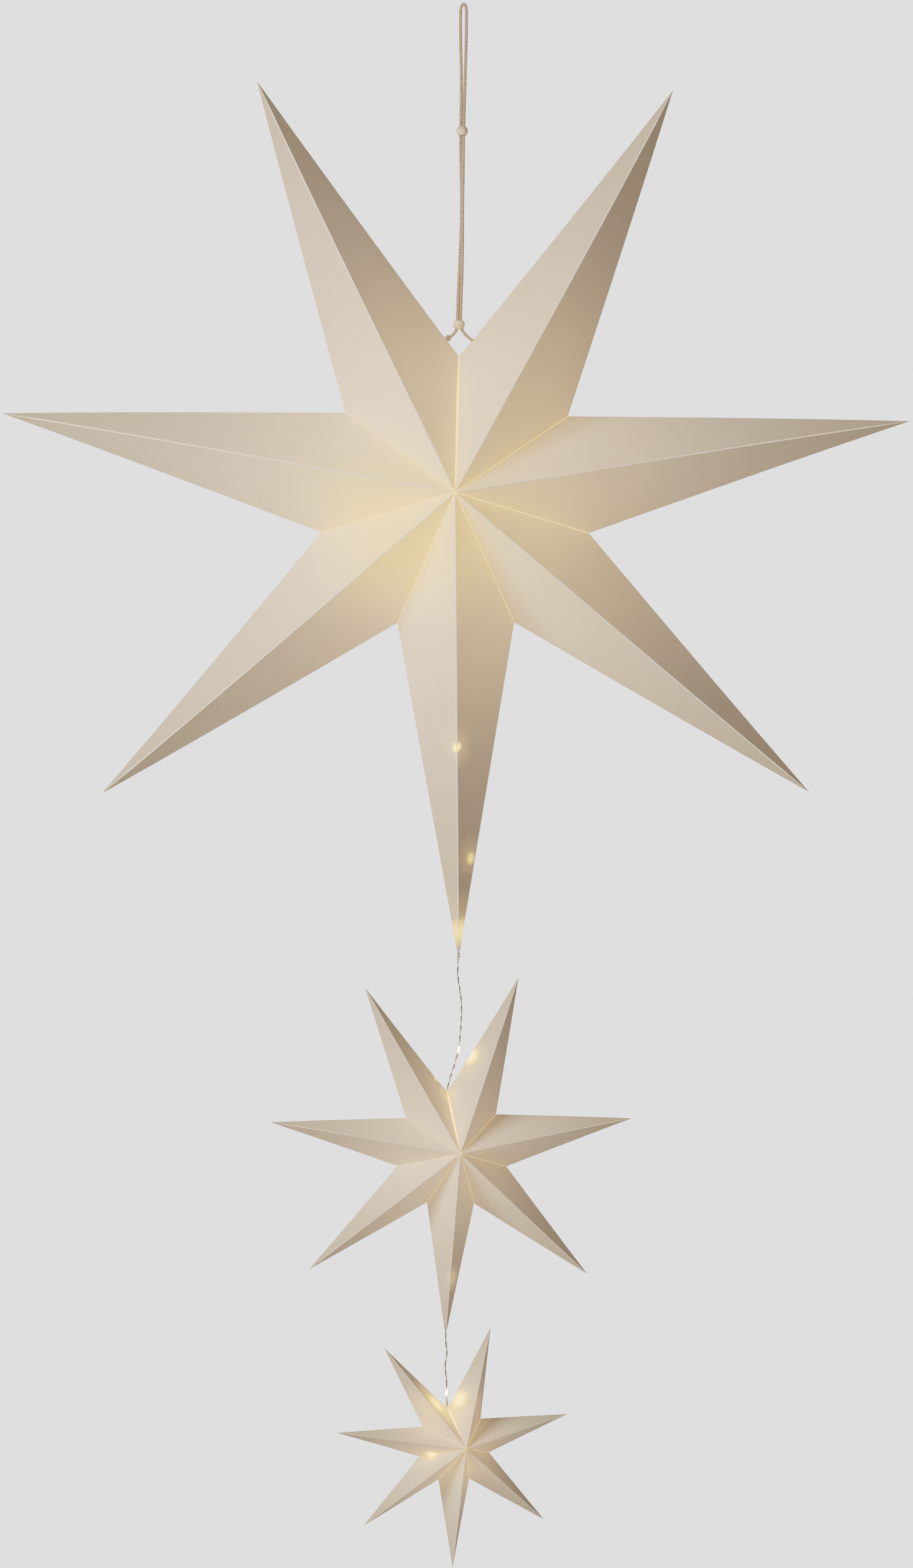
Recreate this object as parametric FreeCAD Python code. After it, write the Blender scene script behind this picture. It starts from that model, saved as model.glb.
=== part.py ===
import FreeCAD, Part
import os
from math import cos, hypot, pi, radians, sin, sqrt, tan
from FreeCAD import Vector

# A hanging cascade of three folded paper stars with a battery light string.
# Millimetres and degrees. The origin is the inside top of the hanging loop, +Z is up,
# and the stars face -Y. Headings turn from +X towards +Z.

# Paper stars: seven points each, the first one hangs straight down.
POINTS = ["bottom", "lower_right", "right", "upper_right", "upper_left", "left", "lower_left"]
SEAM = 3                      # the open seam is between the upper right and the upper left point
PAPER = 0.35                  # thickness of the sheet
FLAP_START = 6.0              # the glue flaps stop this far from the spine
DOT_PLAY = 0.1                # an adhesive dot is this much thinner than the seam on each side

# The hanging length sets the large star's centre, and each smaller star hangs from the tip above.
LARGE_CENTRE = Vector(-6, 0, -351)
DROP_TO_MEDIUM = Vector(-4.504, 0, -137.008)
DROP_TO_SMALL = Vector(6.014, 0.762, -77.089)

LARGE = {
    "yaw": 0, "radius": 330.0, "valley": 99.0, "half_depth": 75.0,
    "flap": 14.0, "tips": [270.4, 320, 369.7, 421.6, 475.7, 529.3, 580.2],
    "seam": 448.5, "seam_valley": 101.0, "seam_gap": 1.2, "snipped": True,
}
MEDIUM = {
    "yaw": 9, "radius": 133.0, "valley": 41.0, "half_depth": 38.0,
    "flap": 6.5, "tips": [267.9, 317.6, 369.8, 428.6, 478.4, 530.5, 579.1],
    "seam": 455, "seam_valley": 43.0, "seam_gap": 1.6, "snipped": True,
}
SMALL = {
    "yaw": 17, "radius": 88.0, "valley": 27.0, "half_depth": 31.0,
    "flap": 4.5, "tips": [269.4, 320.5, 373, 431.6, 486.4, 532.6, 579.7],
    "seam": 460, "seam_valley": 27.4, "seam_gap": 1.6, "snipped": False,
}
STARS = {"large": LARGE, "medium": MEDIUM, "small": SMALL}

# Hanging cord and beads.
CORD = 2.1                    # braided cord
HOOK = 2.1                    # diameter of the nail or hook that the loop goes round
BEAD = 8.0                    # wooden beads
BEAD_HEIGHT = 7.0
BORE_PLAY = 0.8               # round the two strands in a bead
BEAD_BORE = 2 * CORD + BORE_PLAY
HOLE_PLAY = 1.5               # round the cord in the paper's holes and in the case's lug
CORD_HOLE = CORD + HOLE_PLAY
CORD_HOLE_FROM_VALLEY = 14.0
KNOT = 4.4

# Light string.
WIRE = 0.9                    # twisted pair
LED_DROP = 3.0                # diameter of an epoxy drop
LED_LENGTH = 6.0
SLEEVE_PLAY = 0.05
SLEEVE_WALL = 0.6
SLEEVE_LENGTH = 4.0
SLEEVE_DROP = 1.31            # from the snipped edge down to the sleeve
WIRE_HOLE_PLAY = 0.3
WIRE_HOLE_X = 8.0
WIRE_INSIDE = 1.5             # the wire starts this far above the case's underside
WIRE_STUB = 5.0               # and goes straight down to this far below it
TIP_ROOM = 0.62               # beside the wire in the snipped tips, to the paper's outer face

# Battery case for two AA cells, with its lid at the back.
CELL = 14.3
CELL_LENGTH = 49.5
CELL_NUB = 5.4                # diameter of the positive end
NUB_HEIGHT = 1.0
CELL_GAP = 0.3                # from the case's middle to each cell
CELL_SIDE = 0.8               # from a cell to the side wall
CELL_DEPTH_PLAY = 2.5         # in front of and behind the cells together
CELL_Y = -0.4
SPRING_SPACE = 3.4            # below the cells
HEAD_SPACE = 15.9             # above the cells, for contacts, board and switch
WALL = 1.6
LID = 1.6
CASE_WIDTH = 2 * (CELL_GAP + CELL + CELL_SIDE + WALL)
CASE_DEPTH = CELL + CELL_DEPTH_PLAY + WALL + LID
CASE_LENGTH = CELL_LENGTH + SPRING_SPACE + HEAD_SPACE + 2 * WALL
PLAY = 0.3                    # between the lid or the knob and the case
TONGUE = 0.8                  # ribs of the lid, in grooves of the case
LUG_WIDTH = 11.0
LUG_THICKNESS = 3.0
LUG_HOLE = CORD + HOLE_PLAY
LUG_RISE = 4.5                # the lug's hole stands this far above the case
CASE_DROP = 2.0               # the case hangs this far below the star's centre

# Switch on the case's right side.
SWITCH_KNOB = 4.0
SWITCH_TRAVEL = 4.0
SWITCH_BELOW_TOP = 9.0
SWITCH_Y = -3.0
KNOB_HALF = 1.5               # half the knob's width across its travel
KNOB_RISE = 1.2               # above the case's side
KNOB_ROOT = 2.4               # inside the case's wall
FLANGE = 1.3
FLANGE_HALF = 3.0

# Contacts and board.
CONTACT = 10.0                # width of a contact plate
CONTACT_SHEET = 0.4
CONTACT_PLAY = 0.1
CONTACT_GAP = 3.6             # from the cells' upper ends to the upper plates
DIMPLE = 4.0
SPRING_WIRE = 0.6
SPRING_RADIUS = 4.0
SPRING_RINGS = 3
BOARD = 1.2
BOARD_GAP = 4.6               # from the cells' upper ends to the board
BOARD_HALF_DEPTH = 6.5
BOARD_LEFT = -13.0
BOARD_RIGHT = 10.0
CHIP = (6.0, 6.0, 1.6)
CHIP_LEFT = -8.0


def save(shape, name):
    shape.exportStep("parts/" + name + ".step")
    print(name, "solids", len(shape.Solids), "volume", round(shape.Volume, 1), "valid", shape.isValid())


def polygon(corners):
    return Part.Face(Part.makePolygon(corners + corners[:1]))


def closed(faces):
    shell = Part.makeShell(faces)
    shell.sewShape()
    solid = Part.makeSolid(shell)
    if solid.Volume < 0:
        solid.reverse()
    return solid


def box(low, high):
    size = Vector(*high) - Vector(*low)
    return Part.makeBox(size.x, size.y, size.z, Vector(*low))


# ---------------------------------------------------------------- paper stars

def heading(angle, radius=1.0, y=0.0):
    return Vector(radius * cos(radians(angle)), y, radius * sin(radians(angle)))


def valley(star, index):
    """Heading and radius of valley index, between the tips on each side of it round the ring."""
    tips = star["tips"]
    if index == SEAM:
        return star["seam"], star["seam_valley"]
    if index < 0:
        return (tips[-1] - 360 + tips[0]) / 2, star["valley"]
    if index == len(tips) - 1:
        return (tips[-1] + tips[0] + 360) / 2, star["valley"]
    return (tips[index] + tips[index + 1]) / 2, star["valley"]


def sides(star, index):
    """Heading and radius of the valleys of a point. The seam is a narrow gap."""
    gap = star["seam_gap"] / 2 / star["seam_valley"] * 180 / pi
    first, first_radius = valley(star, index - 1)
    last, last_radius = valley(star, index)
    if index == SEAM:
        last -= gap
    if index == SEAM + 1:
        first += gap
    return (first, first_radius), (last, last_radius)


def inner_scale(star, low, tip):
    """The sheet's inner face is its outer face scaled towards the star's centre by this."""
    reach = low.cross(tip).Length / (tip - low).Length
    return 1 - PAPER * sqrt(1 / star["half_depth"] ** 2 + 1 / reach ** 2)


def panel(star, low, tip, face):
    """One flat triangle of a point: spine end, valley, tip. face is -1 in front, 1 behind."""
    outer = [Vector(0, face * star["half_depth"], 0), low, tip]
    scale = inner_scale(star, low, tip)
    inner = [corner * scale for corner in outer]
    faces = [polygon(outer), polygon(inner)]
    for a, b in ((0, 1), (1, 2), (2, 0)):
        faces.append(polygon([outer[a], outer[b], inner[b], inner[a]]))
    return closed(faces)


def flap(star, side, radius, tip, face):
    """Half of a glue flap: a strip along the valley crease, on the plane between two points."""
    depth = star["half_depth"]
    low = heading(side, radius)
    outer = inner_scale(star, low, tip)
    inner = outer - star["flap"] * hypot(depth, radius) / (depth * radius)
    strip = []
    for scale, ends in ((outer, (FLAP_START, outer * radius)), (inner, (inner * radius, FLAP_START))):
        for along in ends:
            strip.append(heading(side, along, face * depth * (scale - along / radius)))
    inwards = heading(side + 90)
    if inwards.dot(tip) < 0:
        inwards = inwards * -1
    return polygon(strip).extrude(inwards * PAPER)


def snip(star):
    """How much of a bottom tip is snipped off, so that the wire just comes out."""
    half_turn = pi / len(POINTS)
    reach = star["radius"] - star["valley"] * cos(half_turn)
    return (WIRE / 2 + TIP_ROOM) * reach / (star["valley"] * sin(half_turn))


def point(star, index):
    """A point is one creased sheet: four panels and two glue flaps with a window each."""
    tip = heading(star["tips"][index], star["radius"])
    pieces = []
    for side, radius in sides(star, index):
        low = heading(side, radius)
        for face in (-1, 1):
            pieces.append(panel(star, low, tip, face))
            pieces.append(flap(star, side, radius, tip, face))
    if index == 0 and star["snipped"]:
        end = box((tip.x - 10, -10, tip.z - 1), (tip.x + 10, 10, tip.z + snip(star)))
        pieces = [piece.cut(end) for piece in pieces]
    return pieces


def cord_hole(star, index):
    """A hole through the edge of an upper point, square to the edge."""
    first, last = sides(star, index)
    low = heading(*(last if index == SEAM else first))
    edge = heading(star["tips"][index], star["radius"]) - low
    edge.normalize()
    across = Vector(-edge.z, 0, edge.x)
    start = low + edge * CORD_HOLE_FROM_VALLEY - across * CORD_HOLE * 2
    return Part.makeCylinder(CORD_HOLE / 2, CORD_HOLE * 4, start, across)


def placed(star, shape):
    shape = shape.copy()
    shape.rotate(Vector(0, 0, 0), Vector(0, 0, 1), star["yaw"])
    shape.translate(star["centre"])
    return shape


def bottom_tip(star):
    """Where the first tip would be if it weren't snipped."""
    return placed(star, Part.Vertex(heading(star["tips"][0], star["radius"]))).Point


LARGE["centre"] = LARGE_CENTRE
LARGE_TIP = bottom_tip(LARGE)
MEDIUM_CENTRE = LARGE_TIP + DROP_TO_MEDIUM
MEDIUM["centre"] = MEDIUM_CENTRE
MEDIUM_TIP = bottom_tip(MEDIUM)
SMALL_CENTRE = MEDIUM_TIP + DROP_TO_SMALL
SMALL["centre"] = SMALL_CENTRE


def make_points():
    for size, star in STARS.items():
        for index, where in enumerate(POINTS):
            pieces = point(star, index)
            if star is LARGE and index in (SEAM, SEAM + 1):
                pieces = [piece.cut(cord_hole(star, index)) for piece in pieces]
            save(placed(star, Part.makeCompound(pieces)), size + "_point_" + where)


def make_seam_dots():
    """Adhesive dots across the open seam, half way down the front glue flaps."""
    for size in ("medium", "small"):
        star = STARS[size]
        side, radius = valley(star, SEAM)
        depth = star["half_depth"]
        scale = 1 - star["flap"] * 0.6 * hypot(depth, radius) / (depth * radius)
        middle = heading(side, radius / 2, -depth * (scale - 0.5))
        thickness = star["seam_gap"] / 2 - 2 * DOT_PLAY
        across = heading(side + 90)
        dot = Part.makeCylinder(star["flap"] * 0.3, thickness, middle - across * thickness / 2, across)
        save(placed(star, dot), size + "_seam_dot")


# ---------------------------------------------------------------- cords and wires

def at(anchor, route, depth=1.0):
    """The route's places, moved to an anchor. Its y values are in parts of the depth given."""
    return [Vector(x, y * depth, z) + anchor for x, y, z in route]


def tube(name, route, diameter):
    """A round tube along straight runs joined by tangent arcs, as large as the runs allow."""
    points = [Vector(*p) for p in route]
    edges = []
    start = points[0]
    radii = []
    for before, corner, after in zip(points, points[1:], points[2:]):
        back = before - corner
        ahead = after - corner
        cut = 0.45 * min(back.Length, ahead.Length)
        turn = pi - back.getAngle(ahead)
        radius = cut / tan(turn / 2)
        radii.append(radius)
        enter = corner + back.normalize() * cut
        leave = corner + ahead.normalize() * cut
        to_centre = (back + ahead).normalize() * sqrt(cut ** 2 + radius ** 2)
        middle = corner + to_centre - (back + ahead).normalize() * radius
        edges.append(Part.LineSegment(start, enter).toShape())
        edges.append(Part.Arc(enter, middle, leave).toShape())
        start = leave
    edges.append(Part.LineSegment(start, points[-1]).toShape())
    path = Part.Wire(edges)
    direction = points[1] - points[0]
    section = Part.Wire(Part.makeCircle(diameter / 2, points[0], direction))
    solid = path.makePipeShell([section], True, False)
    ratio = solid.Volume / (path.Length * pi * diameter ** 2 / 4)
    print(name, "length", round(path.Length, 1), "least radius", round(min(radii), 1),
          "in diameters", round(min(radii) / diameter, 1), "volume ratio", round(ratio, 4))
    return solid


# The loop, from the left strand in the loop bead, round the hook and down to the right strand.
LOOP_HALF = (HOOK + CORD) / 2
LOOP_BEAD = (-1.1, 0.0, -89.6)
CORD_LOOP_ROUTE = [
    (-2.2, 0, -89.4), (-1.35, 0, -58), (-LOOP_HALF, 0, -30), (-LOOP_HALF - 0.2, 0, -12),
    (-LOOP_HALF, 0, CORD / 2), (LOOP_HALF, 0, CORD / 2), (LOOP_HALF - 0.1, 0, -12),
    (LOOP_HALF - 0.4, 0, -30), (0.85, 0, -58), (0, 0, -89.4),
]

# The two strands below the loop bead, which part below the tie bead.
TIE_BEAD = (-3.3, 0.0, -228.0)
LEFT_STRAND_ROUTE = [
    (-2.2, 0, -89.7), (-2.04, 0.66, -112), (-1.3, 1.11, -138), (-1.88, 1.0, -164), (-3.04, 0.48, -188),
    (-3.9, 0, -206), (-4.4, 0, -221), (-4.4, 0.1, -233.4), (-10.3, 0, -237.2),
]
RIGHT_STRAND_ROUTE = [
    (0, 0, -89.7), (-0.16, -0.66, -112), (-0.7, -1.11, -138), (-0.72, -1.0, -164), (-0.96, -0.48, -188),
    (-1.7, 0, -206), (-2.2, 0, -221), (-2.2, -0.1, -233.4), (5.0, 0, -238.3),
]

# Inside the large star the cord crosses from one upper point to the other through the case's lug.
CASE_CENTRE = LARGE_CENTRE - Vector(0, 0, CASE_DROP)
LUG_Z = CASE_CENTRE.z + CASE_LENGTH / 2 + LUG_RISE
INNER_CORD_ROUTE = [
    (6.3, 0, -239.3), (12.0, 0, -244.2), (14.4, -2, -254), (12, -3.6, -266), (6, -4.2, -278),
    (-1, -4.4, -290), (-4.8, -4.3, -301), (-5.6, -4.2, LUG_Z), (-6.4, 4.2, LUG_Z),
    (-8, 4.3, -301), (-13, 4, -290), (-18.5, 3.4, -278), (-22.4, 2.2, -266), (-22.8, 0.8, -254),
    (-18.8, 0, -243.4), (-12.5, 0, -238.9),
]

# Wires of the light string. Each stretch is laid out from the case, or from a star's centre or tip.
LARGE_WIRE_ROUTE = at(CASE_CENTRE, [
    (WIRE_HOLE_X, 0, WIRE_INSIDE - CASE_LENGTH / 2), (WIRE_HOLE_X + 0.6, -1, -WIRE_STUB - CASE_LENGTH / 2),
]) + at(LARGE_CENTRE, [
    (15, -0.08, -51), (27, -0.133, -50), (38, -0.16, -40),
    (45, -0.173, -24), (49, -0.16, -4), (47, -0.147, 16), (40, -0.133, 34), (28, -0.16, 46),
    (14, -0.187, 52), (-2, -0.2, 51), (-18, -0.187, 44), (-31, -0.16, 32), (-40, -0.133, 15),
    (-44, -0.107, -4), (-41, -0.093, -23), (-33, -0.08, -39), (-22, -0.067, -53), (-11, -0.04, -66),
    (-4, 0.027, -83), (-7, 0.107, -102), (-9, 0.12, -123), (-4, 0.027, -143), (1, -0.093, -161),
    (2, -0.133, -179), (-2, -0.053, -198),
], LARGE["half_depth"]) + at(LARGE_TIP, [
    (-8.3, 3, 115), (-4.3, 5, 98), (2.7, 1, 84), (5.2, -2, 70), (1.7, -2, 55), (-1.5, -0.4, 41),
    (-0.2, 0.3, 27), (-0.1, 0, 14), (0, 0, 0.79),
])
LARGE_LEDS = at(LARGE_CENTRE, [
    (48.4, -0.16, -4), (-2, -0.197, 50), (-43.3, -0.107, -4), (-6.9, 0.104, -104), (1.6, -0.123, -179),
], LARGE["half_depth"]) + at(LARGE_TIP, [
    (4.3, -1.8, 70), (-0.3, 0, 28),
])

UPPER_DROP_ROUTE = at(LARGE_TIP, [
    (0, 0, 0.39), (-1, 0, -10), (0.9, -0.3, -21), (2.5, -0.5, -33), (1.8, -0.4, -47), (0.8, 0, -61),
    (-1.8, 0, -73), (-5.9, -0.3, -84), (-8.2, -0.6, -93.81),
])
UPPER_DROP_LED = at(LARGE_TIP, [(0.2, 0, -64.81)])

MEDIUM_WIRE_ROUTE = at(MEDIUM_CENTRE, [
    (-3.7, -0.59, 42.8), (-3.1, -0.5, 32.9), (-0.4, 1.4, 24), (6.7, 5, 18), (13.2, 6, 10),
    (11.2, 2.5, -2), (1.2, -3.5, -10), (-8.8, -5, -18), (-9.8, -1.5, -30), (-3.3, 3.5, -41),
    (0.2, 3, -54),
]) + at(MEDIUM_TIP, [
    (2, -1.74, 65.91), (2.51, -3.24, 52.91), (4, -1.24, 39.91), (1.21, 1.16, 27.91),
    (0.51, 0.16, 16.91), (0.21, 0.04, 3.91),
])
MEDIUM_LEDS = at(MEDIUM_CENTRE, [
    (12.3, 5.6, 8.5), (-6.2, -4.7, -17), (-0.5, 2.8, -53),
]) + at(MEDIUM_TIP, [(2.61, -3.04, 51.91)])

LOWER_DROP_ROUTE = at(MEDIUM_TIP, [
    (0.21, 0.04, 3.51), (0.11, 0.06, -4.09), (1.41, 0.16, -11.09), (-0.09, 0.06, -18.09),
    (0.11, -0.04, -25.09), (1, -0.24, -33.09), (0.51, -0.34, -41.09), (1.31, -0.63, -49.49),
])
LOWER_DROP_LED = at(MEDIUM_TIP, [(0.71, -0.34, -39.59)])

SMALL_WIRE_ROUTE = at(SMALL_CENTRE, [
    (-4.55, -1.38, 27.2), (-3.62, -1.08, 19.9), (0.5, 1.5, 14), (7, 4, 9), (9, 2, 2), (4, -3, -5),
    (-3, -4, -11), (-5.5, -1, -19), (-2, 2.5, -27), (-0.3, 2.5, -36),
])
SMALL_LEDS = at(SMALL_CENTRE, [
    (7.8, 3.2, 7.5), (-1.2, -3.9, -9.8), (-0.6, 2.5, -34),
])


def led_drop(centre):
    """A clear drop round one LED: a short cylinder with round ends."""
    radius = LED_DROP / 2
    straight = LED_LENGTH - LED_DROP
    low = Vector(*centre) - Vector(0, 0, straight / 2)
    drop = Part.makeCylinder(radius, straight, low)
    drop = drop.fuse(Part.makeSphere(radius, low))
    drop = drop.fuse(Part.makeSphere(radius, low + Vector(0, 0, straight)))
    return drop.removeSplitter()


def tip_sleeve():
    """A short tube round the wire where it leaves the large star's snipped tip."""
    bore = WIRE / 2 + SLEEVE_PLAY
    low = LARGE_TIP + Vector(0, 0, snip(LARGE) - SLEEVE_DROP - SLEEVE_LENGTH)
    outer = Part.makeCylinder(bore + SLEEVE_WALL, SLEEVE_LENGTH, low)
    return outer.cut(Part.makeCylinder(bore, SLEEVE_LENGTH, low))


def bead(centre):
    """A bead turned from wood, a little flatter than a ball, with a bore for two strands."""
    middle = Vector(*centre)
    ball = Part.makeSphere(BEAD / 2, middle)
    half = BEAD_HEIGHT / 2
    ball = ball.common(box((middle.x - BEAD, -BEAD, middle.z - half),
                           (middle.x + BEAD, BEAD, middle.z + half)))
    bore = Part.makeCylinder(BEAD_BORE / 2, 2 * BEAD, middle - Vector(0, 0, BEAD))
    return ball.cut(bore)


def make_cords():
    save(tube("cord_loop", CORD_LOOP_ROUTE, CORD), "cord_loop")
    save(tube("cord_strand_left", LEFT_STRAND_ROUTE, CORD), "cord_strand_left")
    save(tube("cord_strand_right", RIGHT_STRAND_ROUTE, CORD), "cord_strand_right")
    save(tube("inner_cord", INNER_CORD_ROUTE, CORD), "inner_cord")
    save(bead(LOOP_BEAD), "loop_bead")
    save(bead(TIE_BEAD), "tie_bead")
    save(Part.makeSphere(KNOT / 2, Vector(*LEFT_STRAND_ROUTE[-1])), "cord_knot")


def make_light_string():
    save(tube("large_light_wire", LARGE_WIRE_ROUTE, WIRE), "large_light_wire")
    save(tube("drop_wire_upper", UPPER_DROP_ROUTE, WIRE), "drop_wire_upper")
    save(tube("medium_light_wire", MEDIUM_WIRE_ROUTE, WIRE), "medium_light_wire")
    save(tube("drop_wire_lower", LOWER_DROP_ROUTE, WIRE), "drop_wire_lower")
    save(tube("small_light_wire", SMALL_WIRE_ROUTE, WIRE), "small_light_wire")
    save(Part.makeCompound([led_drop(c) for c in LARGE_LEDS]), "large_led_drops")
    save(Part.makeCompound([led_drop(c) for c in MEDIUM_LEDS]), "medium_led_drops")
    save(Part.makeCompound([led_drop(c) for c in SMALL_LEDS]), "small_led_drops")
    save(led_drop(UPPER_DROP_LED[0]), "drop_led_upper")
    save(led_drop(LOWER_DROP_LED[0]), "drop_led_lower")
    save(tip_sleeve(), "large_tip_sleeve")


# ---------------------------------------------------------------- battery case

def case_box(low, high):
    return box(Vector(*low) + CASE_CENTRE, Vector(*high) + CASE_CENTRE)


SWITCH_Z = CASE_LENGTH / 2 - SWITCH_BELOW_TOP


def make_case():
    half_w, half_d, half_l = CASE_WIDTH / 2, CASE_DEPTH / 2, CASE_LENGTH / 2
    case = case_box((-half_w, -half_d, -half_l), (half_w, half_d, half_l))
    inner_w, inner_l = half_w - WALL, half_l - WALL
    lid_y = half_d - LID
    case = case.cut(case_box((-inner_w, -half_d + WALL, -inner_l), (inner_w, half_d, inner_l)))
    case = case.cut(case_box((-inner_w, lid_y, -half_l), (inner_w, half_d, inner_l)))
    groove_w = inner_w + TONGUE
    case = case.cut(case_box((-groove_w, lid_y, -half_l), (groove_w, half_d - TONGUE / 2, inner_l)))
    finish_case(case, half_w, half_l)
    lid = case_box((-inner_w + PLAY, lid_y + PLAY / 2, -half_l), (inner_w - PLAY, half_d, inner_l - PLAY))
    tongue = case_box((-groove_w + PLAY, lid_y + PLAY / 2, -half_l),
                      (groove_w - PLAY, half_d - TONGUE / 2 - PLAY / 2, inner_l - PLAY))
    lid = lid.fuse(tongue).removeSplitter()
    save(lid, "battery_lid")


def finish_case(case, half_w, half_l):
    """Adds the lug, the wire hole and the switch slot, and saves the case."""
    lug_top = CASE_CENTRE + Vector(0, 0, half_l + LUG_RISE)
    lug = Part.makeCylinder(LUG_WIDTH / 2, LUG_THICKNESS, lug_top - Vector(0, LUG_THICKNESS / 2, 0),
                            Vector(0, 1, 0))
    lug = lug.fuse(case_box((-LUG_WIDTH / 2, -LUG_THICKNESS / 2, half_l - 0.5),
                            (LUG_WIDTH / 2, LUG_THICKNESS / 2, half_l + LUG_RISE)))
    lug = lug.cut(Part.makeCylinder(LUG_HOLE / 2, 2 * LUG_THICKNESS,
                                    lug_top - Vector(0, LUG_THICKNESS, 0), Vector(0, 1, 0)))
    wire_hole = Part.makeCylinder(WIRE / 2 + WIRE_HOLE_PLAY, 3 * WALL,
                                  CASE_CENTRE + Vector(WIRE_HOLE_X, 0, -half_l - WALL))
    slot_half = (SWITCH_KNOB + SWITCH_TRAVEL) / 2 + PLAY
    slot = case_box((half_w - 2 * WALL, SWITCH_Y - KNOB_HALF - PLAY, SWITCH_Z - slot_half),
                    (half_w + WALL, SWITCH_Y + KNOB_HALF + PLAY, SWITCH_Z + slot_half))
    save(case.fuse(lug).cut(wire_hole).cut(slot).removeSplitter(), "battery_case")


def make_switch():
    half_w = CASE_WIDTH / 2
    knob_z = SWITCH_Z + SWITCH_TRAVEL / 2
    inside = half_w - WALL
    knob = case_box((inside - KNOB_ROOT, SWITCH_Y - KNOB_HALF, knob_z - SWITCH_KNOB / 2),
                    (half_w + KNOB_RISE, SWITCH_Y + KNOB_HALF, knob_z + SWITCH_KNOB / 2))
    flange = case_box((inside - PLAY - FLANGE, SWITCH_Y - FLANGE_HALF, knob_z - SWITCH_KNOB / 2),
                      (inside - PLAY, SWITCH_Y + FLANGE_HALF, knob_z + SWITCH_KNOB / 2))
    save(knob.fuse(flange).removeSplitter(), "switch_knob")


def spring(foot, height):
    """A conical contact spring, drawn as rings stacked from wide to narrow."""
    rings = []
    for n in range(SPRING_RINGS):
        z = foot.z + SPRING_WIRE / 2 + n * (height - SPRING_WIRE) / (SPRING_RINGS - 1)
        rings.append(Part.makeTorus(SPRING_RADIUS - n, SPRING_WIRE / 2, Vector(foot.x, foot.y, z)))
    return Part.makeCompound(rings)


def contact(x, low, high, width):
    """A square of nickel plated sheet, or a block of it where the sheet is dimpled up to the cell."""
    y = CASE_CENTRE.y + CELL_Y
    return box((x - width / 2, y - width / 2, low), (x + width / 2, y + width / 2, high))


def make_cells_and_contacts():
    floor_z = CASE_CENTRE.z - CASE_LENGTH / 2 + WALL
    cell_low = floor_z + SPRING_SPACE
    cell_top = cell_low + CELL_LENGTH
    low_plate = floor_z + CONTACT_PLAY + CONTACT_SHEET
    cells, springs, plates = [], [], []
    for side in (-1, 1):
        x = CASE_CENTRE.x + side * (CELL / 2 + CELL_GAP)
        foot = Vector(x, CASE_CENTRE.y + CELL_Y, cell_low)
        can = Part.makeCylinder(CELL / 2, CELL_LENGTH, foot)
        nub_foot = foot + Vector(0, 0, CELL_LENGTH if side > 0 else -NUB_HEIGHT)
        cells.append(can.fuse(Part.makeCylinder(CELL_NUB / 2, NUB_HEIGHT, nub_foot)).removeSplitter())
        plates.append(contact(x, floor_z + CONTACT_PLAY, low_plate, CONTACT))
        plates.append(contact(x, cell_top + CONTACT_GAP, cell_top + CONTACT_GAP + CONTACT_SHEET, CONTACT))
        if side > 0:
            springs.append(spring(Vector(x, foot.y, low_plate), cell_low - low_plate))
            plates.append(contact(x, cell_top + NUB_HEIGHT, cell_top + CONTACT_GAP, DIMPLE))
        else:
            springs.append(spring(Vector(x, foot.y, cell_top), CONTACT_GAP))
            plates.append(contact(x, low_plate, cell_low - NUB_HEIGHT, DIMPLE))
    save(Part.makeCompound(cells), "battery_cells")
    save(Part.makeCompound(springs), "contact_springs")
    save(Part.makeCompound(plates), "contact_plates")


def make_board():
    low = CASE_LENGTH / 2 - WALL - HEAD_SPACE + BOARD_GAP
    board = case_box((BOARD_LEFT, -BOARD_HALF_DEPTH, low), (BOARD_RIGHT, BOARD_HALF_DEPTH, low + BOARD))
    chip = case_box((CHIP_LEFT, -CHIP[1] / 2, low + BOARD),
                    (CHIP_LEFT + CHIP[0], CHIP[1] / 2, low + BOARD + CHIP[2]))
    save(Part.makeCompound([board, chip]), "circuit_board")


os.makedirs("parts", exist_ok=True)
make_points()
make_seam_dots()
make_cords()
make_light_string()
make_case()
make_switch()
make_cells_and_contacts()
make_board()
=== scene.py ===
import bmesh
import bpy
from math import cos, exp, hypot, pi, radians, sin, tan
from mathutils import Matrix, Vector, noise


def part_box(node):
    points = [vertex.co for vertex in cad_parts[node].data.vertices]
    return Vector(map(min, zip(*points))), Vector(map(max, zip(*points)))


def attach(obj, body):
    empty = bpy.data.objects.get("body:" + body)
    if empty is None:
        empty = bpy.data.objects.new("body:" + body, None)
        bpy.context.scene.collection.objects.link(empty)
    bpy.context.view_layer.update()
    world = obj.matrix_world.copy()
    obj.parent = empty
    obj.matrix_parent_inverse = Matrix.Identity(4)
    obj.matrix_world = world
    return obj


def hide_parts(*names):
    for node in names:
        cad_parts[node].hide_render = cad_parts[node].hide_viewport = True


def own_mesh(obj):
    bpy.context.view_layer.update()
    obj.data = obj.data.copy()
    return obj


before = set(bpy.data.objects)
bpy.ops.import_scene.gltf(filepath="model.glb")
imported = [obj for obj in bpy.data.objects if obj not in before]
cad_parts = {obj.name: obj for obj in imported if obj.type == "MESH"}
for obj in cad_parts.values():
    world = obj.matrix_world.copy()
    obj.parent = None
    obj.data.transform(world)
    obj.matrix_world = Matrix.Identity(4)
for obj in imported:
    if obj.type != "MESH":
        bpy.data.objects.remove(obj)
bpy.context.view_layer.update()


# ------------------------------------------------------------------ heavy paper, folded
# Each point of a star is cut from uncoated cartridge paper, scored and folded into four panels.
# The panels meet in a sharp ridge in front and behind, and two glue flaps with large windows
# join a point to its neighbours along the valley creases. Warm white light shines through, painted
# as emission on the sheet, with painted shade towards the tips.

MM = 0.001


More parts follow.
